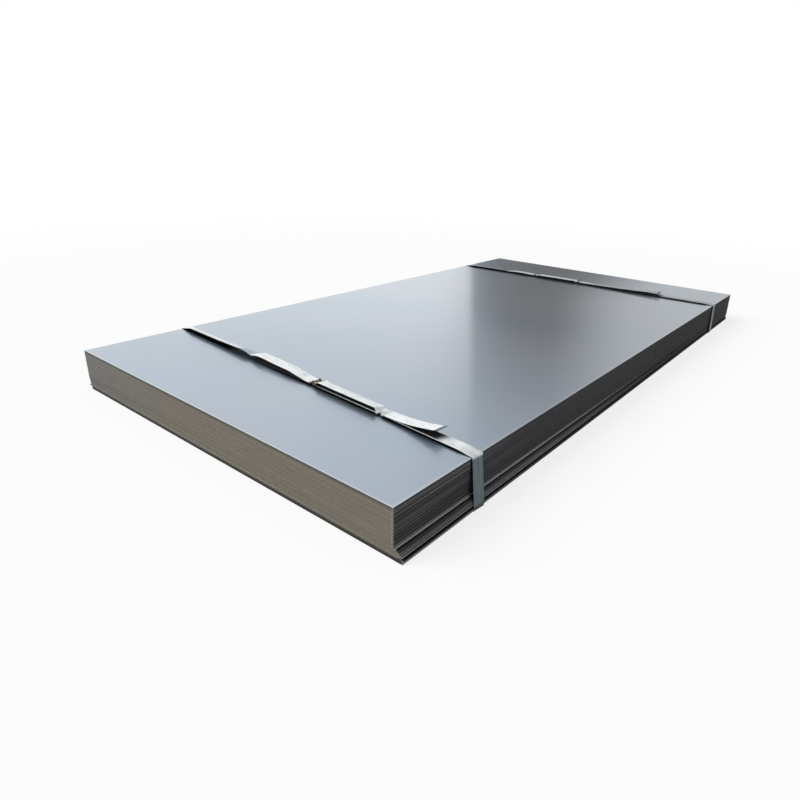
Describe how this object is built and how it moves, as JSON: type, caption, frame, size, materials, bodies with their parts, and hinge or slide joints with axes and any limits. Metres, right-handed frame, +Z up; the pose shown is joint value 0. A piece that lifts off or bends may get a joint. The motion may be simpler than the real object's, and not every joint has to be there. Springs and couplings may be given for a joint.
{
  "type": "strapped steel plate bundle",
  "caption": "Stack of thin rectangular steel plates held as a bundle by flat steel straps with crimped seals, stored and hauled lying flat.",
  "frame": {"origin": "on the ground, under the middle of the bundle's box", "axes": "+X across the plates towards the side that the lower plates stick out to, +Y along the plates, +Z up"},
  "size_m": [1.2832, 2.5102, 0.1495],
  "materials": {
    "plate_face": "smooth cold-rolled steel, softly reflecting",
    "plate_stack": "sheared steel edges, dull grey",
    "strap": "bright zinc-coated strap, slightly worn",
    "seal": "zinc-coated sheet, crimped"
  },
  "bodies": {
    "root": {"top_plate": "plate_face", "upper_plates": "plate_stack", "lower_plates": "plate_stack", "set_back_plate": "plate_stack", "bottom_plates": "plate_stack", "near_strap": "strap", "far_strap": "strap", "near_seal_left": "seal", "near_seal_right": "seal", "far_seal_left": "seal", "far_seal_right": "seal"}
  },
  "joints": []
}
